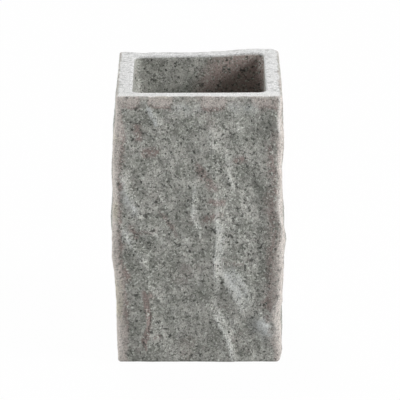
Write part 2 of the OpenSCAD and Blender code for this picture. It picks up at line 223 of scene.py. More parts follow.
SIDE_PINKS = (
    (((-0.8, 0.97), (-0.5, 0.98), (-0.2, 0.97)), 0.07, 0.07, 0.9),
    (((0.3, 0.9), (0.42, 0.84), (0.6, 0.8)), 0.05, 0.05, 0.8),
    (((-0.5, 0.7), (-0.36, 0.68), (-0.28, 0.6)), 0.07, 0.07, 0.7),
    (((0, 0.5), (0.16, 0.47), (0.24, 0.4), (0.4, 0.38)), 0.04, 0.04, 0.8),
    (((-0.7, 0.36), (-0.62, 0.28), (-0.64, 0.18)), 0.06, 0.06, 0.9),
    (((0.5, 0.2), (0.64, 0.18), (0.7, 0.1)), 0.08, 0.08, 0.8),
)
# How strongly the relief shows at some heights, as (up, share of it)
FADE = ((0, 0.4), (0.06, 1), (0.92, 1), (1, 0.2))
# Turns of each shallow wave over one rim width, across the face and up it
RIPPLE_TURNS = ((2.3, 1.1), (0.8, -1.7), (4.1, 2.3))
# From how far in the relief begins, as a share of WALL
RELIEF_START = 0.9

# How hollow the two flanks of a crest are: 1 is flat
LEFT_HOLLOW = 1.3
RIGHT_HOLLOW = 2

# Lift of the rim's back edge from left to right, as (across, share of RIM_WAVE)
BACK_LIFTS = ((-1, 0.2), (-0.75, -0.6), (-0.3, -0.2), (0.1, 0.1), (0.3, 0.4), (0.45, 1.1),
              (0.65, 1.7), (0.75, 1.8), (0.9, 1.8), (1, 1.2))
# How fast that lift dies away below the rim: the power of the height
LIFT_POWER = 10

# Radius of each worn corner at some heights, from front left round by front right, and the length
# over which it wanders, how much, and its seeds for a corner's x and y
WORN_RADII = {(-1, -1): ((0, 0.0015), (0.03, 0.0025), (0.93, 0.0025), (1, CORNER_R)),
              (1, -1): ((0, 0.002), (0.03, 0.0035), (0.5, 0.003), (0.75, 0.003), (0.93, 0.004),
                        (1, CORNER_R)),
              (1, 1): ((0, 0.002), (0.03, 0.0035), (1, 0.003)),
              (-1, 1): ((0, 0.0015), (0.03, 0.0025), (0.95, 0.0025), (1, CORNER_R))}
WORN_SPOT = 0.012
WORN_UNEVEN = 0.4
WORN_SEEDS = (3.1, 5.3)
# Nicks along the outer edge of the rim: their depth, length, reach below the rim and seed, and the
# noise that is added to have more of them
NICK = 0.0005
NICK_SPOT = 0.0035
NICK_REACH = 0.002
NICK_SEED = 6.5
NICK_MORE = 0.1

# The stone's own cleft: lean from upright, then width, height, depth and seed of each size of flake
CLEFT_LEAN = math.radians(24)
CLEFTS = ((0.0060, 0.0200, 0.00022, 1.3), (0.0024, 0.0070, 0.00010, 4.1))
PIT_DEPTH = 0.00006
PIT_SIZE = 0.0013
PIT_SEED = 9.4
# How far the crests wander, over what distance, and the seeds across, finely across and up
WARP = 0.0009
WARP_SIZE = 0.007
FINE_WARP = WARP / 3
FINE_WARP_SIZE = WARP_SIZE / 3
WARP_SEEDS = (2.6, 5.2, 8.7)
# From one face to the next, every seed grows by this
SEED_STEP = 13.7

# Width of each corner's painted highlight at some heights, from front left round by front right, where
# the rounded upright corners catch the side lamps, and how strongly it shows, then how far the pale band
# reaches below the rim
CORNER_HIGHLIGHT_WIDTHS = {(-1, -1): ((0, 0.0072), (0.3, 0.0066), (0.6, 0.005), (1, 0.006)),
                 (1, -1): ((0, 0.006), (0.13, 0.007), (0.22, 0.0095), (0.3, 0.0075), (0.4, 0.008),
                           (0.5, 0.006), (0.7, 0.0045), (1, 0.0055)),
                 (1, 1): ((0, 0.0055), (1, 0.007)),
                 (-1, 1): ((0, 0.007), (1, 0.0055))}
CORNER_HIGHLIGHT_SHARES = {(-1, -1): 1, (1, -1): 0.85, (1, 1): 0.85, (-1, 1): 0.85}
CORNER_HIGHLIGHT_SPOT = 0.013
CORNER_HIGHLIGHT_UNEVEN = 0.5
CORNER_HIGHLIGHT_SEED = 7.7
# A corner's painted highlight fades out from its width divided by this
CORNER_HIGHLIGHT_CORE = 5
PALE_BAND_REACH = 0.0075
# How pale the band under the rim is, and how much paler where it is pink
PALE_BAND_SHARE = 0.3
PALE_BAND_PINK_SHARE = 0.7
# Width of the painted highlight along a crest, on its lit right flank: a third of it lies on the crest's
# left
HIGHLIGHT_W = 0.003
# From this width on, the flank of a crest is too broad to carry a painted highlight
BROAD_W = 0.01
# How far in from the rim's outer edge the saw left the stone rough, how unevenly, and its seed
SAWN_EDGE = 0.0008
SAWN_UNEVEN = 0.7
SAWN_SEED = 3.8

# Colours of the stone
STONE_GREY = (0.262, 0.267, 0.24)
STONE_PALE = (0.41, 0.405, 0.377)
STONE_PINK = (0.265, 0.21, 0.194)
STONE_BLACK = (0.045, 0.046, 0.04)
STONE_DARK = (0.125, 0.132, 0.112)
# The next two colours paint the highlights on the upright corners and the pale band under the rim: pale,
# and pinkish at the fringe
HIGHLIGHT_AND_BAND_PALE = (0.53, 0.487, 0.455)
HIGHLIGHT_AND_BAND_FRINGE = (0.42, 0.37, 0.343)
STONE_OCHRE = (0.53, 0.495, 0.415)
# The next colour paints the white highlights along the crests
STONE_HIGHLIGHT = (0.53, 0.545, 0.54)
STONE_WHITE = (0.56, 0.575, 0.535)
# A pink patch inside, at the back on the right, lighter than the stone: partly the stone's pink and
# partly a painted pool of light on the back wall. Its colour, its middle, its reach, the share of the
# reach where it is full, and its strength there
INSIDE_PINK_AND_LIGHT = (0.38, 0.29, 0.265)
PINK_LIGHT_PLACE = (0.02, 0.028, 0.1)
PINK_LIGHT_REACH = 0.026
PINK_LIGHT_CORE = 0.6
PINK_LIGHT_STRENGTH = 0.85
STONE_SAWN = (0.63, 0.63, 0.626)
# The front of the rim has fainter marks and is painted brighter: a painted highlight along its front
SAWN_FRONT_HIGHLIGHT = (0.67, 0.67, 0.662)
SAWN_DARK = (0.26, 0.26, 0.255)
# Specks of the stone, as colour, size, seed, the noise above which there is one, and strength
SPECKS = ((STONE_DARK, 0.0011, 5.6, 0.52, 0.8),
          (STONE_WHITE, 0.001, 7.9, 0.54, 0.85),
          (STONE_BLACK, 0.0013, 3.3, 0.57, 0.9))
# How far a speck's edge is spread, as a share of the noise that it is cut from
SPECK_EDGE = 0.12
SPECK_DETAIL = 2

# Soft patches, as the size of a spot, seed and detail, then the noise where they begin and where
# they are full, and their strength at each
PALE_PATCHES = (0.009, 1.7, 3, 0.36, 0.64, 0, 1)
MOTTLE = (0.0024, 2.4, 4, 0.3, 0.7, 0.75, 1.25)
PINK_PATCHES = (0.012, 6.3, 2, 0.58, 0.72, 0, 0.3)
OCHRE_PATCHES = (0.014, 5.1, 1, 0.5, 0.62, 0, 1)
HIGHLIGHT_PATCHES = (0.003, 3.1, 2, 0.3, 0.6, 0.15, 0.6)
SCRATCHES = (0.0026, 2.2, 2, 0.55, 0.62, 0, 1)
SCRATCH_DOTS = (0.0012, 9.1, 2, 0.53, 0.65, 0, 0.6)
RUBBER_PATCHES = (0.004, 4.4, 2, 0.35, 0.65, 0.85, 1.1)
PAPER_PATCHES = (0.05, 1.1, 2, 0.3, 0.7, 0.59, 0.61)
# Soft noise, as the size of a spot, seed and detail: what breaks the edges of veins and rubbed
# places, and the roughness of the split faces
BROKEN_SPOTS = (0.003, 8.6, 2)
SPLIT_SPOTS = (0.0022, 4.7, 3)
# How far that noise breaks the edge of a vein, and the share of it that breaks the edge of the painted
# corner highlights and the pale band
BROKEN = 0.9
RAGGED = 0.7
# Edges, as the mark where they begin and where they are full, and their strength at each
VEIN_EDGE = (0.1, 0.7, 0, 0.9)
FRINGE_EDGE = (0.15, 0.5, 0, 0.8)
HIGHLIGHT_AND_BAND_EDGE = (0.3, 0.9, 0, 0.9)
CREST_HIGHLIGHT_EDGE = (0.4, 2, 0, 1)
# How much fainter the specks are under the painted highlights and in the pale band under the rim
HIGHLIGHT_FADE = 0.6
# Round black grains: their spacing, sizes by their number, strength, and their uneven outline
BLACK_SPACING = 0.0034
BLACK_SIZES = (0.3, 1, 0, 0.17)
BLACK_STRENGTH = 0.9
WOBBLE_SCALE = 900
WOBBLE = (0.0012, 0.0012, 0.0012)
# Marks on the sawn rim: how they are squeezed, their strength, and how much less it is in front
SCRATCH_SQUEEZE = (1, 2, 1)
SCRATCH_STRENGTH = 0.6
FRONT_FAINTER = 0.3
# Fine grain, as scale and contrast, then the stone's roughness by its height, and depth of bump
STONE_GRAIN = (2000, 2.1)
STONE_ROUGHNESS = (0.3, 0.7, 0.7, 0.9)
STONE_BUMP = 0.0002
# Detail and roughness of the fine grain's noise
GRAIN_DETAIL = 3
GRAIN_ROUGHNESS = 0.6
# Feet and their film, as colour, scale and contrast of the grain, roughness and depth of bump
FOOT_RUBBER = ((0.05, 0.05, 0.052), 2500, 0.8, 0.6, 0.00005)
ADHESIVE_FILM = ((0.62, 0.6, 0.52), 1800, 0.4, 0.4, 0.00002)
# How much rougher or smoother than that they are in places, from low to high grain
ROUGHNESS_SPREAD = 0.08
GRAIN_LOW = 0.3
GRAIN_HIGH = 0.7


def turned(crests):
    """The same crests with the face upside down."""
    return tuple((tuple((-across, 1 - up) for across, up in reversed(places)), left, right, rise)
                 for places, left, right, rise in crests)


def measured(crests, tallest):
    """The crests in metres across the face and up it."""
    return [([(across * HALF_W, up * SIDE_H) for across, up in places],
             left * RIM_W, right * RIM_W, rise * tallest)
            for places, left, right, rise in crests]


def crest_highlight_lines(crests):
    """The line along each sharp raised crest where a highlight is painted."""
    return [(places, HIGHLIGHT_W / 3, min(right, HIGHLIGHT_W), min(rise / RIDGE, 1))
            for places, _, right, rise in crests if rise > 0 and right < BROAD_W]


FACE_CRESTS = [measured(crests, RIDGE) for crests in
               (FRONT_CRESTS, SIDE_CRESTS, turned(FRONT_CRESTS), turned(SIDE_CRESTS))]
FACE_HIGHLIGHTS = [crest_highlight_lines(crests) + measured(patches, 1) for crests, patches in
                zip(FACE_CRESTS, (FRONT_HIGHLIGHTS, (), turned(FRONT_HIGHLIGHTS), ()))]
FACE_PINKS = [measured(pinks, 1) for pinks in
              (FRONT_PINKS, SIDE_PINKS, turned(FRONT_PINKS), turned(SIDE_PINKS))]


def lookup(value, table):
    """Straight-line steps between the (value, result) pairs of a table."""
    if value <= table[0][0]:
        return table[0][1]
    for (low, start), (high, end) in zip(table, table[1:]):
        if value <= high:
            return start + (end - start) * (value - low) / (high - low)
    return table[-1][1]


def smooth(low, high, value):
    """0 below low and 1 above high, eased between them."""
    share = min(max((value - low) / (high - low), 0), 1)
    return share * share * (3 - 2 * share)


def swell_at(face, across, up):
    """How far a face stands out past the rim's plane."""
    from_start = (across - SLANT_STARTS[face] * HALF_W) / RIM_W
    wander = WANDER_SHARE * math.sin(math.radians(WANDER_DEGREES * from_start))
    slide = (SLANT_SHARES[face] * from_start + wander) * 4 * up * (1 - up)
    return SWELL * lookup(up + slide, SWELL_SHARES[face])


def crest_at(across, height, crest):
    """Height of one crest: sharp along its line, and faded at its ends."""
    places, left, right, rise = crest
    widest = max(left, right)
    steps = len(places) - 1
    tallest = 0
    for i in range(steps):
        start_x, start_z = places[i]
        run_x, run_z = places[i + 1][0] - start_x, places[i + 1][1] - start_z
        x, z = across - start_x, height - start_z
        if not (min(run_z, 0) - widest < z < max(run_z, 0) + widest):
            continue
        along = min(max((x * run_x + z * run_z) / (run_x ** 2 + run_z ** 2), 0), 1)
        aside = math.hypot(x - along * run_x, z - along * run_z)
        on_left = x * run_z > z * run_x
        width, hollow = (left, LEFT_HOLLOW) if on_left else (right, RIGHT_HOLLOW)
        if aside < width:
            from_middle = 2 * (i + along) / steps - 1
            tallest = max(tallest, (1 - aside / width) ** hollow * (1 - from_middle ** 4))
    return rise * tallest


def ripple_at(face, across, height):
    """Height of the shallow waves between the crests."""
    turns = [math.tau * (a * across + b * height) / RIM_W for a, b in RIPPLE_TURNS]
    turn = math.pi / 2 * face
    return RIPPLE * (math.sin(turns[0] + turn) * math.sin(turns[1] + turn * 2 / 3)
                     + math.sin(turns[2] - turn) / 2)


def noise_at(face, across, height, wide, tall, seed):
    """Noise from -1 to 1 in spots of one width and height, different on each face."""
    return noise.noise(Vector((across / wide, height / tall, seed + SEED_STEP * face)))


def cleft_at(face, across, height):
    """The split stone's own grain: flat flakes that lean down to the right, and fine pits."""
    cut_x = across * math.cos(CLEFT_LEAN) + height * math.sin(CLEFT_LEAN)
    cut_z = height * math.cos(CLEFT_LEAN) - across * math.sin(CLEFT_LEAN)
    relief = 0
    for wide, tall, depth, seed in CLEFTS:
        relief += depth * (1 - 2 * abs(noise_at(face, cut_x, cut_z, wide, tall, seed))) ** 3
    return relief + PIT_DEPTH * noise_at(face, across, height, PIT_SIZE, PIT_SIZE, PIT_SEED)


def drift_at(face, across, height):
    """How far the crests wander from their straight lines, across and up."""
    wide_seed, fine_seed, up_seed = WARP_SEEDS
    drift_x = WARP * noise_at(face, across, height, WARP_SIZE, WARP_SIZE, wide_seed)
    drift_x += FINE_WARP * noise_at(face, across, height, FINE_WARP_SIZE, FINE_WARP_SIZE, fine_seed)
    return drift_x, WARP * noise_at(face, across, height, WARP_SIZE, WARP_SIZE, up_seed)


def chips_at(face, across, height):
    """How far the chipped relief of a face stands out at a place on it."""
    up = height / SIDE_H
    drift_x, drift_z = drift_at(face, across, height)
    relief = sum(crest_at(across + drift_x, height + drift_z, c) for c in FACE_CRESTS[face])
    relief -= SINK
    relief += ripple_at(face, across, height) + cleft_at(face, across, height)
    return lookup(up, FADE) * relief


def sawn_at(point):
    """1 on the sawn rim, and 0 everywhere else."""
    reach = max(abs(point.x), abs(point.y))
    if reach < HALF_W - WALL / 2:
        return smooth(RIM_TOP - MOUTH_ROUND, RIM_TOP - MOUTH_ROUND / 3, point.z)
    if point.z <= RIM_TOP - RIM_ROUND:
        return 0
    spot = noise.noise(Vector((point.x / NICK_SPOT, point.y / NICK_SPOT, SAWN_SEED)))
    edge = HALF_W - SAWN_EDGE * (1 + SAWN_UNEVEN * spot)
    return 1 - smooth(edge - RIM_ROUND / 2, edge + RIM_ROUND / 2, reach)


def on_face(point):
    """The face that a point lies on, and its place across that face and up it."""
    if abs(point.y) > abs(point.x):
        face = 0 if point.y < 0 else 2
        across = point.x if face == 0 else -point.x
    else:
        face = 1 if point.x > 0 else 3
        across = point.y if face == 1 else -point.y
    height = point.z - UNDERSIDE
    drift_x, drift_z = drift_at(face, across, height)
    return face, across + drift_x, height + drift_z


def is_outside(point):
    """Whether a point lies on the outer half of the wall."""
    return max(abs(point.x), abs(point.y)) > HALF_W - WALL / 2


def pink_at(point):
    """1 in the middle of the pink veins and patches of the faces."""
    if not is_outside(point):
        return 0
    face, across, height = on_face(point)
    return max(crest_at(across, height, line) for line in FACE_PINKS[face])


def corner_highlight_and_band_at(point):
    """1 on the upright corners, where a highlight is painted, and in a pale band just under the rim."""
    if not is_outside(point):
        return 0
    corner = corner_of(point)
    from_corner = HALF_W - min(abs(point.x), abs(point.y))
    spot = noise.noise(Vector((point.z / CORNER_HIGHLIGHT_SPOT, point.x, CORNER_HIGHLIGHT_SEED)))
    width = lookup((point.z - UNDERSIDE) / SIDE_H, CORNER_HIGHLIGHT_WIDTHS[corner]) * (1 + CORNER_HIGHLIGHT_UNEVEN * spot)
    # Painted highlight: the rounded upright corners are made pale where the side lamps catch them
    at_corner = CORNER_HIGHLIGHT_SHARES[corner] * (1 - smooth(width / CORNER_HIGHLIGHT_CORE, width, from_corner))
    under_rim = smooth(RIM_TOP - PALE_BAND_REACH, RIM_TOP - RIM_ROUND, point.z)
    return max(at_corner, under_rim * (PALE_BAND_SHARE + PALE_BAND_PINK_SHARE * pink_at(point)))


def crest_highlight_at(point):
    """1 along the crests of the chips, where a white highlight is painted."""
    if not is_outside(point):
        return 0
    face, across, height = on_face(point)
    return max(crest_at(across, height, line) for line in FACE_HIGHLIGHTS[face])


def corner_of(point):
    """The corner nearest to a point, as the signs of its x and y."""
    return int(math.copysign(1, point.x)), int(math.copysign(1, point.y))


def worn_radius(point):
    """Radius of the upright corner nearest to a point, at its height."""
    corner = corner_of(point)
    seeds = [seed * sign for seed, sign in zip(WORN_SEEDS, corner)]
    spot = noise.noise(Vector((point.z / WORN_SPOT, *seeds)))
    return lookup((point.z - UNDERSIDE) / SIDE_H, WORN_RADII[corner]) * (1 + WORN_UNEVEN * spot)


def nick_at(point):
    """How far the rim's outer edge is nicked at a point near it."""
    share = smooth(RIM_TOP - NICK_REACH, RIM_TOP, point.z)
    if share == 0:
        return 0
    spot = noise.noise(Vector((point.x / NICK_SPOT, point.y / NICK_SPOT, NICK_SEED)))
    return NICK * share * max(spot + NICK_MORE, 0)


def chipped(point):
    """Where a point of the plain block lies once the faces are chipped and swollen."""
    height = point.z - UNDERSIDE
    up = height / SIDE_H
    reach = max(abs(point.x), abs(point.y))
    outer = smooth(HALF_W - WALL * RELIEF_START, HALF_W - RIM_ROUND, reach)
    lift = RIM_WAVE * lookup(point.x / HALF_W, BACK_LIFTS) * max(up, 0) ** LIFT_POWER
    lift *= (HALF_W + point.y) / RIM_W
    moved = Vector((point.x, point.y, point.z + lift))
    if outer == 0:
        return moved
    side = 1 if point.x > 0 else 3
    end = 0 if point.y < 0 else 2
    side_across = point.y if side == 1 else -point.y
    end_across = point.x if end == 0 else -point.x
    side_sign = 1 if side == 1 else -1
    end_sign = -1 if end == 0 else 1
    flat = reach - worn_radius(point)
    facing = Vector((max(abs(point.x) - flat, 0), max(abs(point.y) - flat, 0))).normalized()
    nick = outer * nick_at(point)
    moved -= nick * Vector((side_sign * facing.x, end_sign * facing.y, 0))
    moved.z -= nick / 2
    moved.x += outer * swell_at(side, side_across, up) * point.x / HALF_W
    moved.y += outer * swell_at(end, end_across, up) * point.y / HALF_W
    moved.x += outer * side_sign * facing.x * chips_at(side, side_across, height)
    moved.y += outer * end_sign * facing.y * chips_at(end, end_across, height)
    return moved


def cornered(point):
    """Where a point of the plain block lies once every corner has its own radius."""
    long, short = max(abs(point.x), abs(point.y)), min(abs(point.x), abs(point.y))
    # Every outline is a square whose corners are rounded by the same share of its half width
    share = CORNER_R / HALF_W
    slope = short / long
    turn = 0
    if slope > 1 - share:
        lean = (1 - slope) * (1 - share) / (share * math.hypot(1, slope))
        turn = math.atan(slope) - math.asin(lean)
    half = long / (1 - share + share * math.cos(turn))
    if half > HALF_W - BASE_ROUND * JUST_OVER:
        radius = worn_radius(point) - (HALF_W - half)
    elif point.z > FLOOR_Z - WALL / 2:
        radius = lookup(half, INSIDE_RADII)
    else:
        return point
    long = half - radius + radius * math.cos(turn)
    if turn > 0:
        short = half - radius + radius * math.sin(turn)
    else:
        short *= (half - radius) / (half * (1 - share))
    if abs(point.x) < abs(point.y):
        long, short = short, long
    return Vector((math.copysign(long, point.x), math.copysign(short, point.y), point.z))


def select_where(obj, kind, test):
    """Selects only the verts, edges or faces of the mesh in edit mode that pass the test."""
    mesh = bmesh.from_edit_mesh(obj.data)
    bpy.ops.mesh.select_mode(type=kind)
    bpy.ops.mesh.select_all(action="DESELECT")
    for part in {"VERT": mesh.verts, "EDGE": mesh.edges, "FACE": mesh.faces}[kind]:
        part.select = test(part)
    mesh.select_flush_mode()
    bmesh.update_edit_mesh(obj.data)


def quarter_turn(steps):
    """Shares of a radius along and across a quarter circle, without its start."""
    for i in range(1, steps + 1):
        turn = math.pi / 2 * i / steps
        yield math.sin(turn), math.cos(turn)


def cup_outline():
    """(height, half width) of the outlines up the outside, over the rim and down to the floor."""
    for along, across in quarter_turn(ROUND_STEPS):
        yield UNDERSIDE + BASE_ROUND * (1 - across), HALF_W - BASE_ROUND * (1 - along)
    yield RIM_TOP - RIM_ROUND, HALF_W
    for along, across in quarter_turn(ROUND_STEPS):
        yield RIM_TOP - RIM_ROUND * (1 - along), HALF_W - RIM_ROUND * (1 - across)
    rim_flat = WALL - RIM_ROUND - MOUTH_ROUND
    for i in range(1, RIM_STEPS + 1):
        yield RIM_TOP, HALF_W - RIM_ROUND - rim_flat * i / RIM_STEPS
    for along, across in quarter_turn(ROUND_STEPS):
        yield RIM_TOP - MOUTH_ROUND * (1 - across), MOUTH + MOUTH_ROUND * (1 - along)
    yield FLOOR_Z + CAVITY_R, MOUTH
    for along, across in quarter_turn(FILLET_STEPS):
        yield FLOOR_Z + CAVITY_R * (1 - along), MOUTH - CAVITY_R * (1 - across)
    for share in FLOOR_SHARES:
        yield FLOOR_Z, (MOUTH - CAVITY_R) * share


def cut_recesses(cup):
    """Round recesses in the underside, one for each foot."""
    for name in FEET:
        low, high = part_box(name)
        middle = (low + high) / 2
        radius = (high.x - low.x) / 2 + RECESS_GAP
        bpy.ops.object.select_all(action="DESELECT")
        bpy.ops.mesh.primitive_cylinder_add(vertices=RECESS_STEPS, radius=radius,
                                            depth=2 * RECESS_DEPTH,
                                            location=(middle.x, middle.y, UNDERSIDE))
        cutter = bpy.context.object
        cut = cup.modifiers.new("recess", "BOOLEAN")
        cut.operation = "DIFFERENCE"
        cut.solver = "EXACT"
        cut.object = cutter
        bpy.context.view_layer.objects.active = cup
        bpy.ops.object.modifier_apply(modifier=cut.name)
        bpy.data.objects.remove(cutter)


def mark_finish(cup):
    """Writes where the plain block is sawn, where highlights are painted on its upright corners and
    crests, where a pale band runs under its rim, and where it is pink.
    """
    places = [vertex.co.copy() for vertex in cup.data.vertices]
    finishes = (("sawn", sawn_at), ("corner_highlight_and_band", corner_highlight_and_band_at), ("crest_highlight", crest_highlight_at), ("pink", pink_at))
    for name, share in finishes:
        marks = cup.data.attributes.new(name, "FLOAT", "POINT")
        marks.data.foreach_set("value", [share(place) for place in places])


def stone_cup():
    """The cast cup: one rounded outline drawn up the outside, over the rim and down the inside."""
    bpy.ops.object.select_all(action="DESELECT")
    half = HALF_W - BASE_ROUND
    bpy.ops.mesh.primitive_plane_add(size=2 * half, location=(0, 0, UNDERSIDE))
    cup = bpy.context.object
    cup.name = "stone_cup"
    bpy.ops.object.transform_apply(location=True, rotation=True, scale=True)
    bpy.ops.object.mode_set(mode="EDIT")
    bpy.ops.mesh.select_mode(type="VERT")
    bpy.ops.mesh.select_all(action="SELECT")
    bpy.ops.mesh.bevel(offset=CORNER_R, segments=CORNER_STEPS, affect="VERTICES")
    bpy.ops.mesh.select_all(action="SELECT")
    bpy.ops.mesh.delete(type="ONLY_FACE")
    select_where(cup, "EDGE", lambda edge: edge.calc_length() > HALF_W)
    bpy.ops.mesh.subdivide(number_cuts=FACE_STEPS - 1)
    bpy.ops.mesh.select_all(action="SELECT")
    bpy.ops.mesh.edge_face_add()
    bpy.ops.mesh.select_all(action="SELECT")
    height = UNDERSIDE
    bpy.ops.mesh.select_mode(type="EDGE")
    bpy.ops.mesh.select_all(action="SELECT")
    for next_height, next_half in cup_outline():
        rise = next_height - height
        bpy.ops.mesh.extrude_edges_move(TRANSFORM_OT_translate={"value": (0, 0, rise)})
        grow = next_half / half
        bpy.ops.transform.resize(value=(grow, grow, 1), center_override=(0, 0, next_height))
        height, half = next_height, next_half
    bpy.ops.mesh.edge_face_add()
    bpy.ops.mesh.select_all(action="SELECT")
    bpy.ops.mesh.normals_make_consistent(inside=False)
    bpy.ops.object.mode_set(mode="OBJECT")
    cut_recesses(cup)
    bpy.ops.object.mode_set(mode="EDIT")

    def tall(edge, outer):
        top, bottom = edge.verts
        reach = max(abs(top.co.x), abs(top.co.y))
        return abs(top.co.z - bottom.co.z) > HALF_W and (reach > HALF_W - WALL / 2) == outer

    for outer, steps in ((True, SIDE_STEPS), (False, INNER_STEPS)):
        select_where(cup, "EDGE", lambda edge: tall(edge, outer))
        bpy.ops.mesh.subdivide(number_cuts=steps - 1)
    bpy.ops.object.mode_set(mode="OBJECT")
    for vertex in cup.data.vertices:
        vertex.co = cornered(vertex.co)
    mark_finish(cup)
    for vertex in cup.data.vertices:
        vertex.co = chipped(vertex.co)
    bpy.ops.object.shade_smooth_by_angle(angle=SHARP_TURN)
    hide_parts("body")
    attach(cup, "root")
    return cup


def put(tree, kind, inputs=(), **settings):
    """Adds a node; each (socket, value) of inputs sets that socket or links another's output."""
    node = tree.nodes.new(kind)
    for name, value in settings.items():
        setattr(node, name, value)
    for socket, value in inputs:
        if isinstance(value, bpy.types.NodeSocket):
            tree.links.new(value, node.inputs[socket])
        else:
            node.inputs[socket].default_value = value
    return node


def maths(tree, operation, *values):
    """One sum of values or outputs."""
    return put(tree, "ShaderNodeMath", enumerate(values), operation=operation).outputs[0]


def remap(tree, value, low, high, start=0, end=1):
    """Value from low to high, eased, becomes start to end."""
    inputs = (("Value", value), ("From Min", low), ("From Max", high), ("To Min", start), ("To Max", end))
    return put(tree, "ShaderNodeMapRange", inputs, interpolation_type="SMOOTHSTEP").outputs["Result"]


def blend(tree, share, colour, other, how="MIX"):
    """Colour where share is 0, and the other colour, or both joined, where it is 1."""
    def solid(value):
        return (*value, 1) if isinstance(value, tuple) else value

    inputs = ((0, share), (6, solid(colour)), (7, solid(other)))
    return put(tree, "ShaderNodeMix", inputs, data_type="RGBA", blend_type=how).outputs[2]


def grey(tree, value):
    """A grey of one value."""
    return put(tree, "ShaderNodeCombineColor", ((0, value), (1, value), (2, value))).outputs[0]


def shaded(tree, colour, value):
    """The colour made darker below a value of 1, and lighter above it."""
    return blend(tree, 1, colour, grey(tree, value), "MULTIPLY")


def clouds(tree, place, size, seed, detail):
    """Soft noise in spots of one size, in metres."""
    inputs = (("Vector", place), ("W", seed), ("Scale", 1 / size), ("Detail", detail))
    return put(tree, "ShaderNodeTexNoise", inputs, noise_dimensions="4D").outputs["Fac"]


def patches(tree, place, size, seed, detail, low, high, start, end):
    """Soft noise from low to high, eased, becomes start to end."""
    return remap(tree, clouds(tree, place, size, seed, detail), low, high, start, end)


def grains(tree, place, size):
    """Grains of one size: how far a place is from a grain's middle, and the grain's own number."""
    cells = put(tree, "ShaderNodeTexVoronoi", (("Vector", place), ("Scale", 1 / size)))
    number = put(tree, "ShaderNodeSeparateColor", (("Color", cells.outputs["Color"]),))
    return cells.outputs["Distance"], number.outputs[0]


def specks(tree, place, colour, other, size, seed, low, strength):
    """Scatters uneven specks of another colour: the lower low is, the more there are."""
    inside = remap(tree, clouds(tree, place, size, seed, SPECK_DETAIL), low, low + SPECK_EDGE)
    return blend(tree, maths(tree, "MULTIPLY", inside, strength), colour, other)


def fine_grain_group():
    """Fine grain that tints a colour and roughens a surface, for stone, rubber and film."""
    group = bpy.data.node_groups.new("fine_grain", "ShaderNodeTree")
    for name, kind in (("Place", "NodeSocketVector"), ("Colour", "NodeSocketColor"),
                       ("Scale", "NodeSocketFloat"), ("Contrast", "NodeSocketFloat")):
        group.interface.new_socket(name, in_out="INPUT", socket_type=kind)
    for name, kind in (("Colour", "NodeSocketColor"), ("Height", "NodeSocketFloat")):
        group.interface.new_socket(name, in_out="OUTPUT", socket_type=kind)
    given = put(group, "NodeGroupInput").outputs
    inputs = (("Vector", given["Place"]), ("Scale", given["Scale"]), ("Detail", GRAIN_DETAIL),
              ("Roughness", GRAIN_ROUGHNESS))
    fine = put(group, "ShaderNodeTexNoise", inputs).outputs["Fac"]
    centred = maths(group, "SUBTRACT", fine, 0.5)
    lighter = maths(group, "MULTIPLY_ADD", centred, given["Contrast"], 1)
    tinted = shaded(group, given["Colour"], lighter)
    put(group, "NodeGroupOutput", (("Colour", tinted), ("Height", fine)))
    return group


def new_material(name):
    """A material with only its shader and output, and the object's own coordinates."""
    material = bpy.data.materials.new(name)
    material.use_nodes = True
    tree = material.node_tree
    place = put(tree, "ShaderNodeTexCoord").outputs["Object"]
    return material, tree, tree.nodes["Principled BSDF"], place


def fine_grained(tree, fine_grain, place, colour, scale, contrast):
    """The colour tinted by the fine grain, and the height of the grain."""
    inputs = (("Place", place), ("Colour", colour), ("Scale", scale), ("Contrast", contrast))
    grain = put(tree, "ShaderNodeGroup", inputs, node_tree=fine_grain)
    return grain.outputs["Colour"], grain.outputs["Height"]


def finish(tree, shader, colour, roughness, height, depth):
    """Joins colour, roughness and a bump of one depth to the shader."""
    tree.links.new(colour, shader.inputs["Base Color"])
    tree.links.new(roughness, shader.inputs["Roughness"])
    bump = put(tree, "ShaderNodeBump", (("Height", height), ("Distance", depth)))
    tree.links.new(bump.outputs["Normal"], shader.inputs["Normal"])


def inside_pink_and_light(tree, place, x, y):
    """How strongly the pink patch with its painted light shows: only inside, and on the inner half of the
    rim.
    """
    reach = put(tree, "ShaderNodeVectorMath", ((0, place), (1, PINK_LIGHT_PLACE)), operation="DISTANCE")
    pink_light = remap(tree, reach.outputs["Value"], PINK_LIGHT_REACH, PINK_LIGHT_REACH * PINK_LIGHT_CORE, 0,
                  PINK_LIGHT_STRENGTH)
    for along in (x, y):
        within = remap(tree, along, MOUTH, MOUTH + WALL / 2, 1, 0)
        pink_light = maths(tree, "MULTIPLY", pink_light, within)
    return pink_light


def highlit_corners_and_band(tree, place, colour, corner_highlight_and_band, broken, x):
    """The colour under the painted corner highlights and in the pale band under the rim: first pinkish at
    the fringe, then pale, or ochre on the left.
    """
    on_left = remap(tree, x, 0, -HALF_W / 2)
    ochre = maths(tree, "MULTIPLY", patches(tree, place, *OCHRE_PATCHES), on_left)
    highlight_and_band_colour = blend(tree, ochre, HIGHLIGHT_AND_BAND_PALE, STONE_OCHRE)
    ragged = maths(tree, "MULTIPLY_ADD", broken, RAGGED, corner_highlight_and_band)
    colour = blend(tree, remap(tree, ragged, *FRINGE_EDGE), colour, HIGHLIGHT_AND_BAND_FRINGE)
    return blend(tree, remap(tree, ragged, *HIGHLIGHT_AND_BAND_EDGE), colour, highlight_and_band_colour)


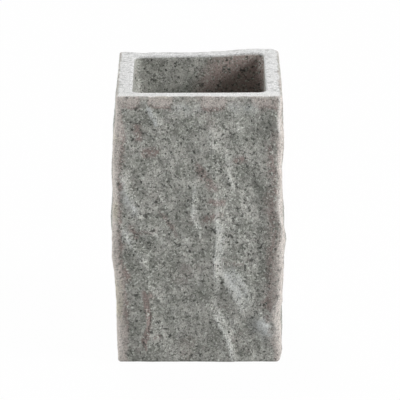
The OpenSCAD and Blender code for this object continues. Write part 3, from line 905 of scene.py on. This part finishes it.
def black_grains(tree, place):
    """1 on the black grains, whose sizes and outlines are uneven."""
    inputs = (("Vector", place), ("Scale", WOBBLE_SCALE))
    wobble = put(tree, "ShaderNodeTexNoise", inputs).outputs["Color"]
    shift = put(tree, "ShaderNodeVectorMath", ((0, wobble), (1, WOBBLE)), operation="MULTIPLY")
    shaken = put(tree, "ShaderNodeVectorMath", ((0, place), (1, shift.outputs[0])), operation="ADD")
    distance, number = grains(tree, shaken.outputs[0], BLACK_SPACING)
    return maths(tree, "LESS_THAN", distance, remap(tree, number, *BLACK_SIZES))


def sawn_stone(tree, place, y, grain):
    """The sawn rim: pale, painted brighter in front as a highlight, and marked by scratches, dots and cut
    grains.
    """
    squeeze = (("Vector", place), ("Scale", SCRATCH_SQUEEZE))
    squeezed = put(tree, "ShaderNodeMapping", squeeze).outputs[0]
    marks = maths(tree, "MAXIMUM", patches(tree, squeezed, *SCRATCHES),
                  patches(tree, squeezed, *SCRATCH_DOTS))
    marks = maths(tree, "MAXIMUM", marks, grain)
    front = remap(tree, y, -MOUTH, -MOUTH - WALL / 3)
    strength = maths(tree, "MULTIPLY_ADD", front, -FRONT_FAINTER, SCRATCH_STRENGTH)
    # Painted highlight: the front strip of the rim is made brighter
    rim_colour = blend(tree, front, STONE_SAWN, SAWN_FRONT_HIGHLIGHT)
    return blend(tree, maths(tree, "MULTIPLY", marks, strength), rim_colour, SAWN_DARK)


def cast_stone(fine_grain):
    """Granite dust in resin: grey-green with pale and black grains, pink patches and a sawn rim."""
    material, tree, shader, place = new_material("cast_stone")
    sawn, corner_highlight_and_band, crest_highlight, veined = [
        put(tree, "ShaderNodeAttribute", attribute_name=name).outputs["Fac"]
        for name in ("sawn", "corner_highlight_and_band", "crest_highlight", "pink")]
    x, y, _ = put(tree, "ShaderNodeSeparateXYZ", ((0, place),)).outputs
    broken = maths(tree, "MULTIPLY_ADD", clouds(tree, place, *BROKEN_SPOTS), BROKEN, -BROKEN / 2)

    colour = blend(tree, patches(tree, place, *PALE_PATCHES), STONE_GREY, STONE_PALE)
    colour = shaded(tree, colour, patches(tree, place, *MOTTLE))
    vein = remap(tree, maths(tree, "ADD", veined, broken), *VEIN_EDGE)
    pink = maths(tree, "MAXIMUM", patches(tree, place, *PINK_PATCHES), vein)
    colour = blend(tree, pink, colour, STONE_PINK)
    # Partly painted light: a lighter pink patch on the inner back wall, on the right
    colour = blend(tree, inside_pink_and_light(tree, place, x, y), colour, INSIDE_PINK_AND_LIGHT)
    # Painted highlights on the upright corners, and a pale band under the rim
    colour = highlit_corners_and_band(tree, place, colour, corner_highlight_and_band, broken, x)
    # Painted highlights along the crests and on the lit patches of the front
    crest_highlight_shown = maths(tree, "MULTIPLY", crest_highlight, patches(tree, place, *HIGHLIGHT_PATCHES))
    colour = blend(tree, crest_highlight_shown, colour, STONE_HIGHLIGHT)

    # Specks are fainter under the painted highlights and in the pale band under the rim
    highlights_and_band = maths(tree, "MAXIMUM", corner_highlight_and_band, remap(tree, crest_highlight, *CREST_HIGHLIGHT_EDGE))
    clear = maths(tree, "MULTIPLY_ADD", highlights_and_band, -HIGHLIGHT_FADE, 1)
    for other, size, seed, low, strength in SPECKS:
        colour = specks(tree, place, colour, other, size, seed, low,
                        maths(tree, "MULTIPLY", clear, strength))
    grain = black_grains(tree, place)
    shown = maths(tree, "MULTIPLY", grain, maths(tree, "MULTIPLY", clear, BLACK_STRENGTH))
    colour = blend(tree, shown, colour, STONE_BLACK)
    colour = blend(tree, sawn, colour, sawn_stone(tree, place, y, grain))

    tinted, fine = fine_grained(tree, fine_grain, place, colour, *STONE_GRAIN)
    split = maths(tree, "SUBTRACT", 1, sawn)
    height = maths(tree, "MULTIPLY_ADD", clouds(tree, place, *SPLIT_SPOTS), split, fine)
    finish(tree, shader, tinted, remap(tree, fine, *STONE_ROUGHNESS), height, STONE_BUMP)
    return material


def grained_material(name, fine_grain, colour, scale, contrast, roughness, depth):
    """A plain colour under fine grain: the rubber of the feet, or the film that holds them."""
    material, tree, shader, place = new_material(name)
    clouded = shaded(tree, colour, patches(tree, place, *RUBBER_PATCHES))
    tinted, fine = fine_grained(tree, fine_grain, place, clouded, scale, contrast)
    rough = remap(tree, fine, GRAIN_LOW, GRAIN_HIGH, roughness - ROUGHNESS_SPREAD,
                  roughness + ROUGHNESS_SPREAD)
    finish(tree, shader, tinted, rough, fine, depth)
    return material


def seen_white(tree, dim, bright):
    """Dim for the rays that light the cup, and bright for the camera, glossy and clear rays."""
    path = put(tree, "ShaderNodeLightPath").outputs
    seen = maths(tree, "MAXIMUM", path["Is Camera Ray"], path["Is Glossy Ray"])
    seen = maths(tree, "MAXIMUM", seen, path["Is Transmission Ray"])
    inputs = (("Value", seen), ("To Min", dim), ("To Max", bright))
    return put(tree, "ShaderNodeMapRange", inputs).outputs[0]


def white_floor():
    """A pale paper floor that is white to the camera and keeps the cup's shadow."""
    bpy.ops.object.select_all(action="DESELECT")
    bpy.ops.mesh.primitive_plane_add(size=PAPER_SIZE, location=(0, 0, 0))
    floor = bpy.context.object
    floor.name = "floor"
    paper, tree, shader, place = new_material("floor_paper")
    white = grey(tree, patches(tree, place, *PAPER_PATCHES))
    tree.links.new(white, shader.inputs["Base Color"])
    shader.inputs["Roughness"].default_value = PAPER_ROUGHNESS
    glow = put(tree, "ShaderNodeEmission", (("Strength", 1),))
    share = seen_white(tree, 0, FLOOR_GLOW)
    both = put(tree, "ShaderNodeMixShader",
               ((0, share), (1, shader.outputs[0]), (2, glow.outputs[0])))
    tree.links.new(both.outputs[0], tree.nodes["Material Output"].inputs["Surface"])
    floor.data.materials.append(paper)


def studio():
    """Soft lamps, a white world and the camera."""
    world = bpy.data.worlds.new("studio")
    bpy.context.scene.world = world
    world.use_nodes = True
    tree = world.node_tree
    background = tree.nodes["Background"]
    background.inputs["Color"].default_value = (1, 1, 1, 1)
    tree.links.new(seen_white(tree, WORLD_LIGHT, 1), background.inputs["Strength"])

    for name, place, size, power in LAMPS:
        bpy.ops.object.light_add(type="AREA", location=place)
        lamp = bpy.context.object
        lamp.name = name
        lamp.data.size = size
        lamp.data.energy = power
        aim = Vector(AIM) - Vector(place)
        lamp.rotation_euler = aim.to_track_quat("-Z", "Y").to_euler()

    bpy.ops.object.camera_add(location=CAMERA_PLACE)
    camera = bpy.context.object
    camera.name = "camera"
    aim = Vector(AIM) - camera.location
    camera.rotation_euler = aim.to_track_quat("-Z", "Y").to_euler()
    camera.data.lens = LENS
    camera.data.sensor_width = SENSOR_W
    bpy.context.scene.camera = camera


cup = stone_cup()
fine_grain = fine_grain_group()
cup.data.materials.append(cast_stone(fine_grain))
rubber = grained_material("foot_rubber", fine_grain, *FOOT_RUBBER)
film = grained_material("adhesive_film", fine_grain, *ADHESIVE_FILM)
for name in FEET:
    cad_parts[name].data.materials[0] = rubber
for name in ADHESIVES:
    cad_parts[name].data.materials[0] = film
white_floor()
studio()
bpy.context.scene.view_settings.view_transform = "Standard"
